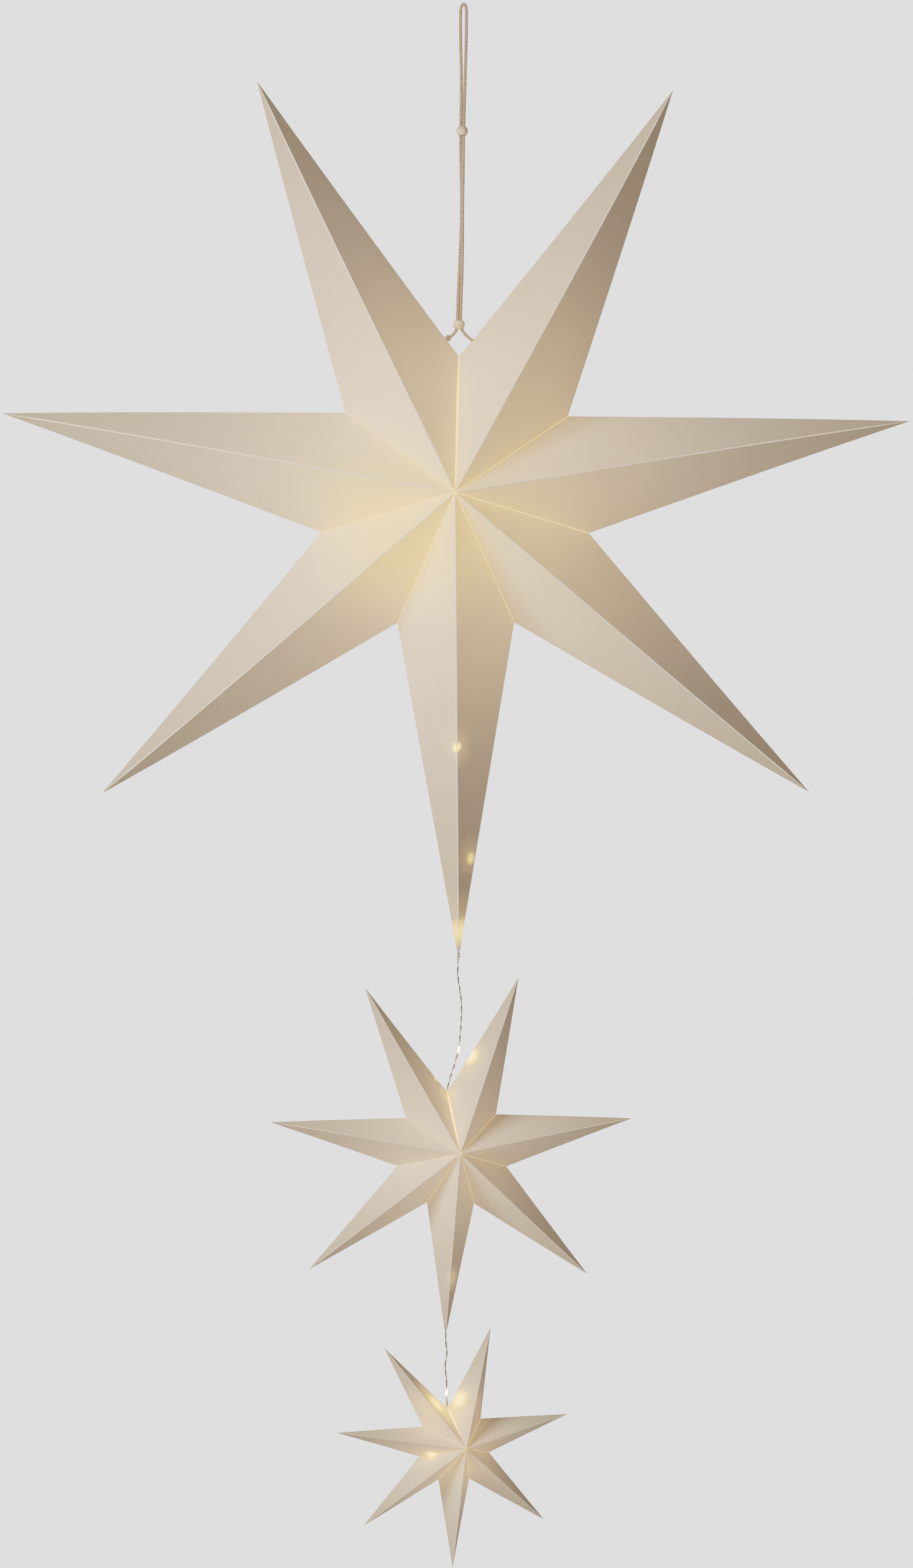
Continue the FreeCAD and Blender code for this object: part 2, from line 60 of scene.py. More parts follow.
def linear(code):
    """A colour written as an sRGB hex value, as the linear values that shaders take."""
    channels = [int(code[n:n + 2], 16) / 255 for n in (1, 3, 5)]
    return [c / 12.92 if c <= 0.04045 else ((c + 0.055) / 1.055) ** 2.4 for c in channels] + [1.0]


def add(tree, kind, links=(), **settings):
    """One node with its settings, and links or values for its sockets by identifier, name or number."""
    made = tree.nodes.new(kind)
    for key, value in settings.items():
        setattr(made, key, value)
    for key, value in dict(links).items():
        found = [one for one in made.inputs if one.identifier == key]
        socket = found[0] if found else made.inputs[key]
        if isinstance(value, bpy.types.NodeSocket):
            tree.links.new(value, socket)
        else:
            socket.default_value = value
    return made


def blend(tree, factor, first, second):
    """The colour between two sRGB hex colours, by a factor socket."""
    made = add(tree, "ShaderNodeMix", {"Factor_Float": factor, "A_Color": linear(first),
                                       "B_Color": linear(second)}, data_type="RGBA")
    return made.outputs[2]


def material(name):
    """An empty material with its Principled shader: (material, tree, shader)."""
    made = bpy.data.materials.new(name)
    made.use_nodes = True
    return made, made.node_tree, made.node_tree.nodes["Principled BSDF"]


def object_from(bm, name, mat, smooth_angle=30):
    """A finished piece from a bmesh, smooth but for edges sharper than smooth_angle degrees."""
    mesh = bpy.data.meshes.new(name)
    bm.to_mesh(mesh)
    bm.free()
    for one in mat if isinstance(mat, (list, tuple)) else [mat]:
        mesh.materials.append(one)
    mesh.polygons.foreach_set("use_smooth", [True] * len(mesh.polygons))
    mesh.set_sharp_from_angle(angle=radians(smooth_angle))
    made = bpy.data.objects.new(name, mesh)
    bpy.context.scene.collection.objects.link(made)
    return made


POINTS = ["bottom", "lower_right", "right", "upper_right", "upper_left", "left", "lower_left"]
SEAM = 3
SEAM_TOUCH = 0.03             # the seam's two flaps lean together to twice this gap
SEAM_CLOSES = 0.7             # and its outer end closes from this share of its length on
SEAM_END_LEAN = 0.75          # by this part of its gap
SEAM_SPREAD = 0.6             # its light spreads wider over the sheet, by the inverse of this
COCKLE = 0.0035               # unevenness of a sheet, as a part of its star's radius
COCKLE_HOLD = 0.05            # and the sheet is held straight this near to a valley crease
PAPER = 0.35 * MM
LARGE = {
    "name": "large", "centre": (-6, 0, -351), "yaw": 0, "radius": 330.0, "valley": 99.0, "half_depth": 75.0,
    "flap": 14.0, "tips": [270.4, 320, 369.7, 421.6, 475.7, 529.3, 580.2],
    "seam": 448.5, "seam_valley": 101.0, "seam_gap": 1.7, "lip": 0.6, "slit": 0.5,
    "painted_sheen": 0.3, "snip": 6.0, "curl": 2.5, "shine": [0.8, 1.0, 0.8, 0.85, 0.7, 0.9, 0.9],
}
MEDIUM = {
    "name": "medium", "centre": (-8.2, 0, -818), "yaw": 9, "radius": 133.0, "valley": 41.0,
    "half_depth": 38.0, "flap": 6.5, "tips": [267.9, 317.6, 369.8, 428.6, 478.4, 530.5, 579.1],
    "seam": 455, "seam_valley": 43.0, "seam_gap": 1.6, "lip": 0.35, "slit": 0.4,
    "painted_sheen": 0.2, "snip": 5.8, "curl": 0.9, "shine": [0.4, 0.35, 0.4, 1.5, 0.3, 0.35, 0.5],
}
SMALL = {
    "name": "small", "centre": (-7, 0, -1028), "yaw": 17, "radius": 88.0, "valley": 27.0,
    "half_depth": 31.0, "flap": 4.5, "tips": [269.4, 320.5, 373, 431.6, 486.4, 532.6, 579.7],
    "seam": 460, "seam_valley": 27.4, "seam_gap": 1.6, "lip": 0.3, "slit": 0.35,
    "painted_sheen": 0.15, "snip": 0.0, "curl": 0.5, "shine": [0.5, 0.4, 0.6, 1.3, 0.5, 0.8, 0.6],
}

# Where the light shows through the sheet, painted as emission: place, reach in mm and strength of each soft
# spot.
GLOWS = {
    "large": [((-6, -40, -351), 260, 0.5), ((-26, -50, -402), 70, 0.3), ((38, -50, -368), 80, 0.2),
              ((-60, -45, -372), 100, 0.7), ((-6.9, -33.5, -530.6), 5.5, 5.5),
              ((-3.2, -33.5, -529.4), 4.5, 4.0), ((-5.6, -33, -530), 22, 0.3),
              ((5.1, -4.1, -609), 6.5, 2.0), ((4.6, -5, -608), 22, 0.25),
              ((-0.7, -0.5, -662), 15, 1.8), ((-4, -3.5, -661), 12, 1.4), ((-3, -3, -658), 36, 0.35)],
    "medium": [((-8, -20, -818), 100, 0.2), ((5.1, 0.7, -750.6), 9, 7.0), ((3.5, -1, -752.5), 24, 0.8),
               ((-9.6, -6, -776), 12, 0.8), ((-5.4, -10, -909.5), 13, 0.6),
               ((-19.8, -3.3, -766.4), 2.2, 3.5)],
    "small": [((-7, -16, -1028), 70, 0.25), ((-18.4, -12.9, -996.5), 12, 4.0), ((-19, -12.5, -998), 28, 1.0),
              ((-3.3, -4.4, -995), 10, 6.0), ((-3, -6, -997), 24, 0.6), ((-22.4, -13.9, -1033.2), 7, 5.0),
              ((-22.4, -13, -1033), 18, 0.4), ((4, -14, -1046), 24, 0.2)],
}


def paper(star):
    """Uncoated heavy paper: matt, with a fine fibrous grain, a faint cloudiness, painted shade towards the
    tips and a painted warm glow.
    """
    mat, tree, shader = material("uncoated_paper_" + star["name"])
    place = add(tree, "ShaderNodeTexCoord").outputs["Object"]
    # Fibre clumps of about 1.1 mm, drawn a little coarser than real so that they show.
    grain = add(tree, "ShaderNodeTexNoise", {"Vector": place, "Scale": 900.0, "Detail": 4.0,
                                             "Roughness": 0.7})
    cloud = add(tree, "ShaderNodeTexNoise", {"Vector": place, "Scale": 14.0, "Detail": 3.0})
    tone = blend(tree, cloud.outputs[0], "#ebe0cb", "#e6d8be")
    speck = add(tree, "ShaderNodeMapRange", {"Value": grain.outputs[0], "From Min": 0.3,
                                             "From Max": 0.7, "To Min": 0.93, "To Max": 1.04})
    # Painted shade: the sheet's colour is darkened towards the tips, where no light comes back from inside.
    out = add(tree, "ShaderNodeVectorMath", {0: place, 1: Vector(star["centre"]) * MM}, operation="DISTANCE")
    painted_shade = add(tree, "ShaderNodeMapRange", {"Value": out.outputs["Value"],
                                             "From Min": 0.25 * star["radius"] * MM,
                                             "From Max": star["radius"] * MM, "To Min": 1.0, "To Max": 0.56})
    both = add(tree, "ShaderNodeMath", {0: speck.outputs["Result"], 1: painted_shade.outputs["Result"]},
               operation="MULTIPLY")
    scaled = add(tree, "ShaderNodeVectorMath", {0: tone, 1: both.outputs[0]}, operation="MULTIPLY")
    bump = add(tree, "ShaderNodeBump", {"Height": grain.outputs[0], "Strength": 0.15,
                                        "Distance": 0.06 * MM})
    tree.links.new(bump.outputs["Normal"], shader.inputs["Normal"])
    shader.inputs["Roughness"].default_value = 0.88
    shader.inputs["Specular IOR Level"].default_value = 0.3

    # Painted light through the sheet: emitted soft spots where an LED lies close behind it.
    total = None
    for centre, reach, strength in GLOWS[star["name"]]:
        away = add(tree, "ShaderNodeVectorMath", {0: place, 1: Vector(centre) * MM}, operation="DISTANCE")
        spot = add(tree, "ShaderNodeMapRange", {"Value": away.outputs["Value"], "From Min": 0.0,
                                                "From Max": reach * MM, "To Min": strength,
                                                "To Max": 0.0}, interpolation_type="SMOOTHERSTEP")
        total = spot.outputs["Result"] if total is None else add(
            tree, "ShaderNodeMath", {0: total, 1: spot.outputs["Result"]}, operation="ADD").outputs[0]
    # And a painted hairline of light along the valley creases, where the glue flaps leave a slit.
    valley = add(tree, "ShaderNodeAttribute", attribute_name="from_valley")
    slit = add(tree, "ShaderNodeMapRange", {"Value": valley.outputs["Fac"], "From Min": 0.0,
                                            "From Max": star["slit"] * MM, "To Min": 3.6, "To Max": 0.0},
               interpolation_type="SMOOTHSTEP")
    halo = add(tree, "ShaderNodeMapRange", {"Value": valley.outputs["Fac"], "From Min": 0.0,
                                            "From Max": star["slit"] * 30 * MM, "To Min": 0.2, "To Max": 0.0},
               interpolation_type="SMOOTHERSTEP")
    both = add(tree, "ShaderNodeMath", {0: slit.outputs["Result"], 1: halo.outputs["Result"]},
               operation="ADD")
    strength = add(tree, "ShaderNodeAttribute", attribute_name="valley_light")
    line = add(tree, "ShaderNodeMath", {0: both.outputs[0], 1: strength.outputs["Fac"]}, operation="MULTIPLY")
    light = add(tree, "ShaderNodeMath", {0: total, 1: line.outputs[0]}, operation="ADD")
    # The painted light, with a faint even glow over the whole sheet, is emitted in a warm yellow.
    through = add(tree, "ShaderNodeMath", {0: light.outputs[0], 1: 0.05}, operation="ADD")
    warmth = blend(tree, light.outputs[0], "#f6bf72", "#ffdb0a")
    # Painted light: where the painted glow is strong, the sheet's own colour is turned yellow too.
    painted_glow_tint = add(tree, "ShaderNodeMapRange", {"Value": light.outputs[0], "From Min": 0.5, "From Max": 2.5})
    coloured = add(tree, "ShaderNodeMix", {"Factor_Float": painted_glow_tint.outputs["Result"],
                                           "A_Color": scaled.outputs["Vector"],
                                           "B_Color": linear("#c9aa48")}, data_type="RGBA")
    tree.links.new(coloured.outputs[2], shader.inputs["Base Color"])
    tree.links.new(warmth, shader.inputs["Emission Color"])
    tree.links.new(through.outputs[0], shader.inputs["Emission Strength"])
    return mat


def crease(star):
    """The lip along a folded ridge: the same paper, smoother, with a painted highlight of a paler colour and
    a faint glow.
    """
    mat, tree, shader = material("crease_painted_highlight_" + star["name"])
    place = add(tree, "ShaderNodeTexCoord").outputs["Object"]
    highlight_mottle = add(tree, "ShaderNodeTexNoise", {"Vector": place, "Scale": 260.0, "Detail": 3.0})
    # Painted highlight: a paler colour than the sheet, and a faint glow of the same colour.
    tone = blend(tree, highlight_mottle.outputs[0], "#faf4e8", "#eee5d3")
    tree.links.new(tone, shader.inputs["Base Color"])
    tree.links.new(tone, shader.inputs["Emission Color"])
    shader.inputs["Emission Strength"].default_value = star["painted_sheen"]
    shader.inputs["Roughness"].default_value = 0.6
    return mat


def on_heading(angle, radius, y=0.0):
    return Vector((radius * cos(radians(angle)), y, radius * sin(radians(angle))))


def valley(star, index):
    tips = star["tips"]
    if index == SEAM:
        return star["seam"], star["seam_valley"]
    after = tips[index + 1] if index < len(tips) - 1 else tips[0] + 360
    before = tips[index] if index >= 0 else tips[-1] - 360
    if index < 0:
        after = tips[0]
    return (before + after) / 2, star["valley"]


def valleys(star, index):
    """The two valley ends of a point, with half the seam's gap beside the seam."""
    gap = star["seam_gap"] / 2 / star["seam_valley"] * 180 / pi
    first, first_radius = valley(star, index - 1)
    last, last_radius = valley(star, index)
    first += gap if index == SEAM + 1 else 0
    last -= gap if index == SEAM else 0
    return on_heading(first, first_radius), on_heading(last, last_radius)


def line_distance(p, a, b):
    along = (b - a).normalized()
    return ((p - a) - along * (p - a).dot(along)).length


def paper_point(star, index, mats):
    """One folded sheet: a closed wedge is opened by cutting the windows, and its ridges get a lip."""
    spine = star["half_depth"]
    front, back = Vector((0, -spine, 0)), Vector((0, spine, 0))
    low, high = valleys(star, index)
    tip = on_heading(star["tips"][index], star["radius"])
    bm = bmesh.new()
    f, b, v1, v2, t = [bm.verts.new(p) for p in (front, back, low, high, tip)]
    for corners in ((f, v1, t), (f, t, v2), (b, t, v1), (b, v2, t)):
        bm.faces.new(corners)
    webs = [bm.faces.new((f, b, v1)), bm.faces.new((f, v2, b))]
    bmesh.ops.recalc_face_normals(bm, faces=bm.faces)
    rings = bmesh.ops.inset_individual(bm, faces=webs, thickness=star["flap"], use_even_offset=True)["faces"]
    beside_spine = [face for face in rings if f in face.verts and b in face.verts]
    bmesh.ops.delete(bm, geom=webs + beside_spine, context="FACES")
    long_edges = [e for e in bm.edges if e.calc_length() > star["flap"] * 1.8]
    bmesh.ops.subdivide_edges(bm, edges=long_edges, cuts=11, use_grid_fill=True)

    ridge = []
    for e in bm.edges:
        end = front if e.verts[0].co.y + e.verts[1].co.y < 0 else back
        if all(line_distance(v.co, end, tip) < 1e-4 for v in e.verts):
            ridge.append(e)
    made = bmesh.ops.bevel(bm, geom=ridge, offset=star["lip"], offset_type="OFFSET", segments=2, profile=0.5,
                           affect="EDGES", material=-1, clamp_overlap=True)
    for face in made["faces"]:
        face.material_index = 1
    near = star["lip"] * 4
    for end in (front, back, tip):
        close = [v for v in bm.verts if (v.co - end).length < near]
        if close:
            bmesh.ops.pointmerge(bm, verts=close, merge_co=end)
    if index == 0 and star["snip"]:
        bmesh.ops.bisect_plane(bm, geom=bm.verts[:] + bm.edges[:] + bm.faces[:],
                               plane_co=(0, 0, tip.z + star["snip"]), plane_no=(0, 0, -1), clear_outer=True)

    edge = high if index == SEAM else low
    over = Vector((-edge.z, 0, edge.x)).normalized() * (1 if index == SEAM else -1)
    creases = [(front, low), (front, high), (back, low), (back, high)]
    distance = bm.verts.layers.float.new("from_valley")
    shine = bm.verts.layers.float.new("valley_light")
    unit = (tip - (front + back) / 2).normalized()
    side = unit.cross(Vector((0, 1, 0)))
    for v in bm.verts:
        away = min(line_distance(v.co, a, c) for a, c in creases)
        lit = index in (SEAM, SEAM + 1) and abs(v.co.dot(over) - edge.dot(over)) < 1e-3
        by_seam = index == SEAM and v.co.dot(side) > 0 or index == SEAM + 1 and v.co.dot(side) < 0
        v[distance] = 0.0 if lit else away * MM * (SEAM_SPREAD if by_seam else 1.0)
        v[shine] = valley_shine(star, index, v.co.dot(side), v.co.length / star["valley"])
    if index in (SEAM, SEAM + 1):
        for v in bm.verts:
            if abs(v.co.dot(over) - edge.dot(over)) < 1e-3:
                from_crease = min(line_distance(v.co, front, edge), line_distance(v.co, back, edge))
                outer_end = (v.co.length / star["seam_valley"] - SEAM_CLOSES) / (1 - SEAM_CLOSES)
                lean = max(from_crease / star["flap"], min(outer_end, SEAM_END_LEAN))
                v.co += over * (star["seam_gap"] / 2 - SEAM_TOUCH) * lean
    curl = star["curl"] * (1 if index % 3 else -0.6)
    for v in bm.verts:
        away = v[distance] / MM
        hold = min(1.0, away / (star["radius"] * COCKLE_HOLD))
        p = v.co * (3.2 / star["radius"]) + Vector((index * 7.3, star["yaw"], 0))
        ripple = noise.noise(p * 2.0) * star["radius"] * COCKLE * hold
        out = (v.co.dot(unit) - star["valley"]) / (star["radius"] - star["valley"])
        v.co.y += (1 if v.co.y > 0 else -1 if v.co.y < 0 else 0) * ripple
        if out > 0 and index:
            v.co.y += curl * out ** 3
            v.co += side * star["curl"] * 0.5 * out ** 3 * (1 if index % 2 else -1)
    bm.normal_update()
    turn = Matrix.Rotation(radians(star["yaw"]), 4, "Z")
    bmesh.ops.transform(bm, matrix=Matrix.Scale(MM, 4) @ Matrix.Translation(Vector(star["centre"])) @ turn,
                        verts=bm.verts)
    where = POINTS[index]
    piece = object_from(bm, f"{star['name']}_paper_{where}", mats, 18)
    thick = piece.modifiers.new("sheet", "SOLIDIFY")
    thick.thickness = PAPER
    thick.offset = -1
    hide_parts(f"{star['name']}_point_{where}")
    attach(piece, f"{star['name']}_star" if index == 0 else f"{star['name']}_{where}")
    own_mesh(piece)
    return piece


def valley_shine(star, index, across, out):
    """How strongly the painted light of the slit beside each valley glows: less towards its outer end."""
    beside = index if across > 0 else index - 1
    return star["shine"][beside % len(POINTS)] * (0.55 + 0.45 * min(1.0, max(0.0, 1.2 - out)))


for star in (LARGE, MEDIUM, SMALL):
    sheets = [paper(star), crease(star)]
    for number in range(len(POINTS)):
        paper_point(star, number, sheets)


# ------------------------------------------------------------------ foam dots at the seams
# The medium and the small star are closed with a double sided foam dot between their seam flaps.

def foam():
    """White polyethylene foam: fine closed cells."""
    mat, tree, shader = material("polyethylene_foam")
    place = add(tree, "ShaderNodeTexCoord").outputs["Object"]
    cells = add(tree, "ShaderNodeTexVoronoi", {"Vector": place, "Scale": 3000.0})
    tone = blend(tree, cells.outputs["Distance"], "#d9d6cd", "#f1efe8")
    tree.links.new(tone, shader.inputs["Base Color"])
    bump = add(tree, "ShaderNodeBump", {"Height": cells.outputs["Distance"], "Strength": 0.4,
                                        "Distance": 0.1 * MM})
    tree.links.new(bump.outputs["Normal"], shader.inputs["Normal"])
    shader.inputs["Roughness"].default_value = 0.9
    return mat


def repaint(node, mat):
    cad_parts[node].material_slots[0].material = mat


foam_mat = foam()
repaint("medium_seam_dot", foam_mat)
repaint("small_seam_dot", foam_mat)


# ------------------------------------------------------------------ battery case
# A moulded ABS case for two AA cells hangs from the inner cord by its lug. The lid slides down
# behind, and the switch knob slides on its right side.

def moulded_abs(name, colour, darker, roughness):
    """ABS from a spark eroded mould: an even satin grain of about 0.3 mm, and faint flow marks."""
    mat, tree, shader = material(name)
    place = add(tree, "ShaderNodeTexCoord").outputs["Object"]
    grain = add(tree, "ShaderNodeTexNoise", {"Vector": place, "Scale": 3300.0, "Detail": 2.0})
    flow = add(tree, "ShaderNodeTexNoise", {"Vector": place, "Scale": 60.0, "Detail": 3.0, "Distortion": 0.6})
    tone = blend(tree, flow.outputs[0], colour, darker)
    tree.links.new(tone, shader.inputs["Base Color"])
    rough = add(tree, "ShaderNodeMapRange", {"Value": flow.outputs[0], "To Min": roughness - 0.06,
                                             "To Max": roughness + 0.06})
    tree.links.new(rough.outputs["Result"], shader.inputs["Roughness"])
    bump = add(tree, "ShaderNodeBump", {"Height": grain.outputs[0], "Strength": 0.3,
                                        "Distance": 0.05 * MM})
    tree.links.new(bump.outputs["Normal"], shader.inputs["Normal"])
    shader.inputs["IOR"].default_value = 1.54
    return mat


case_mat = moulded_abs("moulded_abs_off_white", "#e3dfd6", "#d6d1c6", 0.42)
knob_mat = moulded_abs("moulded_abs_black", "#1d1c1b", "#151414", 0.5)
repaint("battery_case", case_mat)
repaint("battery_lid", case_mat)
repaint("switch_knob", knob_mat)


def cell_sleeve():
    """Printed shrink film over a steel can: glossy, dark below and a copper band above."""
    mat, tree, shader = material("printed_shrink_film")
    place = add(tree, "ShaderNodeTexCoord").outputs["Object"]
    height = add(tree, "ShaderNodeSeparateXYZ", {"Vector": place}).outputs["Z"]
    low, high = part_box("battery_cells")
    band = add(tree, "ShaderNodeMapRange", {"Value": height, "From Min": low.z + 34 * MM,
                                            "From Max": low.z + 34.3 * MM})
    tone = blend(tree, band.outputs["Result"], "#24272c", "#a9683c")
    tree.links.new(tone, shader.inputs["Base Color"])
    scuff = add(tree, "ShaderNodeTexNoise", {"Vector": place, "Scale": 220.0, "Detail": 4.0})
    rough = add(tree, "ShaderNodeMapRange", {"Value": scuff.outputs[0], "To Min": 0.18, "To Max": 0.4})
    tree.links.new(rough.outputs["Result"], shader.inputs["Roughness"])
    shader.inputs["Metallic"].default_value = 0.35
    return mat


def nickel():
    """Nickel plated spring steel: bright, with fine drawing marks."""
    mat, tree, shader = material("nickel_plated_steel")
    place = add(tree, "ShaderNodeTexCoord").outputs["Object"]
    marks = add(tree, "ShaderNodeTexNoise", {"Vector": place, "Scale": 900.0, "Detail": 3.0})
    tone = blend(tree, marks.outputs[0], "#c9c5bb", "#a8a49a")
    tree.links.new(tone, shader.inputs["Base Color"])
    rough = add(tree, "ShaderNodeMapRange", {"Value": marks.outputs[0], "To Min": 0.2, "To Max": 0.35})
    tree.links.new(rough.outputs["Result"], shader.inputs["Roughness"])
    shader.inputs["Metallic"].default_value = 1.0
    return mat


def board_mask():
    """Glass fibre board under a green solder mask, with the weave just showing."""
    mat, tree, shader = material("solder_masked_glass_fibre")
    place = add(tree, "ShaderNodeTexCoord").outputs["Object"]
    weave = add(tree, "ShaderNodeTexWave", {"Vector": place, "Scale": 700.0, "Distortion": 0.5})
    tone = blend(tree, weave.outputs["Fac"], "#12452a", "#1a5634")
    tree.links.new(tone, shader.inputs["Base Color"])
    shader.inputs["Roughness"].default_value = 0.35
    return mat


nickel_mat = nickel()
repaint("battery_cells", cell_sleeve())
repaint("contact_plates", nickel_mat)
repaint("circuit_board", board_mask())


def wind(bm, foot, height, turns=4, wide=4.0, narrow=2.0, wire=0.6):
    """A conical spring wound from spring wire: a small ring of vertices screwed up its axis."""
    before = set(bm.verts)
    ring = bmesh.ops.create_circle(bm, segments=8, radius=wire / 2)["verts"]
    upright = Matrix.Translation((wide, 0, wire / 2)) @ Matrix.Rotation(pi / 2, 4, "X")
    bmesh.ops.transform(bm, matrix=upright, verts=ring)
    steps = turns * 24
    round_ring = [e for e in bm.edges if e.verts[0] in ring]
    bmesh.ops.spin(bm, geom=ring + round_ring, cent=(0, 0, 0), axis=(0, 0, 1), angle=turns * 2 * pi,
                   dvec=(0, 0, (height - wire) / steps), steps=steps, use_merge=False)
    wound = [v for v in bm.verts if v not in before]
    for v in wound:
        share = max(0.0, min(1.0, v.co.z / height))
        size = hypot(v.co.x, v.co.y)
        shrink = (size - (wide - narrow) * share) / size
        v.co.x *= shrink
        v.co.y *= shrink
    bmesh.ops.transform(bm, matrix=Matrix.Scale(MM, 4) @ Matrix.Translation(foot), verts=wound)


spring_low, spring_high = [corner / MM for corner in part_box("contact_springs")]
spring_y = (spring_low.y + spring_high.y) / 2
springs_bm = bmesh.new()
wind(springs_bm, Vector((spring_high.x - 4.3, spring_y, spring_low.z)), 2.9)
wind(springs_bm, Vector((spring_low.x + 4.3, spring_y, spring_high.z - 3.6)), 3.6)
bmesh.ops.holes_fill(springs_bm, edges=[e for e in springs_bm.edges if e.is_boundary], sides=8)
bmesh.ops.recalc_face_normals(springs_bm, faces=springs_bm.faces)
springs = object_from(springs_bm, "wound_contact_springs", nickel_mat, 60)
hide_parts("contact_springs")
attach(springs, "large_star")


# ------------------------------------------------------------------ hanging cord
# One round braided cotton cord, doubled: a loop above the bead, two strands below it, and the
# ends part below the tie bead to the two upper points. Natural beige, with darker flecks.

CORD = 2.1


def braided_cotton():
    """Unbleached cotton yarn: soft, matt, with darker flecks about 1 mm long in the yarn."""
    mat, tree, shader = material("braided_cotton")
    place = add(tree, "ShaderNodeTexCoord").outputs["Object"]
    fleck = add(tree, "ShaderNodeTexNoise", {"Vector": place, "Scale": 800.0, "Detail": 3.0})
    steps = add(tree, "ShaderNodeMapRange", {"Value": fleck.outputs[0], "From Min": 0.52,
                                             "From Max": 0.68})
    tone = blend(tree, steps.outputs["Result"], "#b7a68e", "#857460")
    tree.links.new(tone, shader.inputs["Base Color"])
    fibre = add(tree, "ShaderNodeTexNoise", {"Vector": place, "Scale": 4000.0, "Detail": 2.0})
    bump = add(tree, "ShaderNodeBump", {"Height": fibre.outputs[0], "Strength": 0.5,
                                        "Distance": 0.06 * MM})
    tree.links.new(bump.outputs["Normal"], shader.inputs["Normal"])
    shader.inputs["Roughness"].default_value = 0.95
    shader.inputs["Sheen Weight"].default_value = 0.2
    return mat


def line_of(route):
    """The points of the smooth NURBS line that has the route as its control points, in mm."""
    data = bpy.data.curves.new("route", "CURVE")
    data.dimensions = "3D"
    data.resolution_u = 24
    spline = data.splines.new("NURBS")
    spline.points.add(len(route) - 1)
    for control, place in zip(spline.points, route):
        control.co = (*[c * MM for c in place], 1.0)
    spline.order_u = 3
    spline.use_endpoint_u = True
    holder = bpy.data.objects.new("route", data)
    bpy.context.scene.collection.objects.link(holder)
    bpy.context.view_layer.update()
    mesh = bpy.data.meshes.new_from_object(holder.evaluated_get(bpy.context.evaluated_depsgraph_get()))
    points = [v.co.copy() for v in mesh.vertices]
    bpy.data.objects.remove(holder)
    bpy.data.meshes.remove(mesh)
    return points


def length_of(points):
    return sum((b - a).length for a, b in zip(points, points[1:]))


def evenly(points, step):
    """The same line, with points a step apart."""
    total = length_of(points)
    count = max(2, round(total / step))
    spaced = []
    at, done = 0, 0.0
    for n in range(count + 1):
        want = total * n / count
        while at < len(points) - 2 and done + (points[at + 1] - points[at]).length < want:
            done += (points[at + 1] - points[at]).length
            at += 1
        run = points[at + 1] - points[at]
        spaced.append(points[at] + run * ((want - done) / max(run.length, 1e-9)))
    return spaced


def strands(points, turns_at, offset_at, radius, sides, count, both_ways):
    """A bmesh of yarns or wires wound round a line: each is a ring of vertices led along its helix."""
    bm = bmesh.new()
    normal = (points[1] - points[0]).orthogonal().normalized()
    frames = []
    for n, place in enumerate(points):
        tangent = (points[min(n + 1, len(points) - 1)] - points[max(n - 1, 0)]).normalized()
        normal = (normal - tangent * normal.dot(tangent)).normalized()
        frames.append((place, normal, tangent.cross(normal), tangent))
    for which in range(count):
        hand = -1 if both_ways and which % 2 else 1
        start = 2 * pi * which / count
        previous = None
        for n, (place, u, w, tangent) in enumerate(frames):
            turn = start + hand * turns_at(n)
            out = offset_at(n, which, turn)
            centre = place + (u * cos(turn) + w * sin(turn)) * out
            ring = []
            for k in range(sides):
                around = 2 * pi * k / sides
                ring.append(bm.verts.new(centre + (u * cos(around) + w * sin(around)) * radius))
            if previous:
                for k in range(sides):
                    bm.faces.new((previous[k], previous[(k + 1) % sides], ring[(k + 1) % sides], ring[k]))
            else:
                bm.faces.new(list(reversed(ring)))
            previous = ring
        bm.faces.new(previous)
    bmesh.ops.recalc_face_normals(bm, faces=bm.faces)
    return bm


YARN = 0.42 * MM              # radius of a braid yarn, plump with lint
LOFT = 0.16 * MM              # the whole braid is drawn this much further out, for its lint
BRAID_PITCH = 7.0 * MM
BRAID_STEP = 0.5 * MM
cotton = braided_cotton()


def braided_cord(name, node, route, body):
    line = line_of(route)
    points = evenly(line, BRAID_STEP)
    step = length_of(points) / (len(points) - 1)

    def turns_at(n):
        return 2 * pi * n * step / BRAID_PITCH

    def offset_at(n, which, turn):
        weave = cos(4 * turns_at(n) + (pi if which % 2 else 0))
        return CORD / 2 * MM + LOFT - YARN * 0.9 + YARN * 0.2 * weave

    bm = strands(points, turns_at, offset_at, YARN, 6, 8, True)
    core_radius = CORD / 2 * MM - YARN * 0.7
    core = strands(points[::3], lambda n: 0, lambda n, which, turn: 0, core_radius, 10, 1, False)
    joined = bpy.data.meshes.new("core")
    core.to_mesh(joined)
    core.free()
    bm.from_mesh(joined)
    bpy.data.meshes.remove(joined)
    made = object_from(bm, name, cotton, 60)
    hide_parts(node)
    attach(made, body)
    return made


HOOK = 2.1
LOOP_HALF = (HOOK + CORD) / 2
braided_cord("hanging_loop_cord", "cord_loop", [
    (-2.2, 0, -89.4), (-1.35, 0, -58), (-LOOP_HALF, 0, -30), (-LOOP_HALF - 0.2, 0, -12),
    (-LOOP_HALF, 0, CORD / 2), (LOOP_HALF, 0, CORD / 2), (LOOP_HALF - 0.1, 0, -12),
    (LOOP_HALF - 0.4, 0, -30), (0.85, 0, -58), (0, 0, -89.4),
], "cord_loop")
braided_cord("left_strand_cord", "cord_strand_left", [
    (-2.2, 0, -89.7), (-2.04, 0.66, -112), (-1.3, 1.11, -138), (-1.88, 1.0, -164), (-3.04, 0.48, -188),
    (-3.9, 0, -206), (-4.4, 0, -221), (-4.4, 0.1, -233.4), (-10.3, 0, -237.2),
], "hanging_cord")
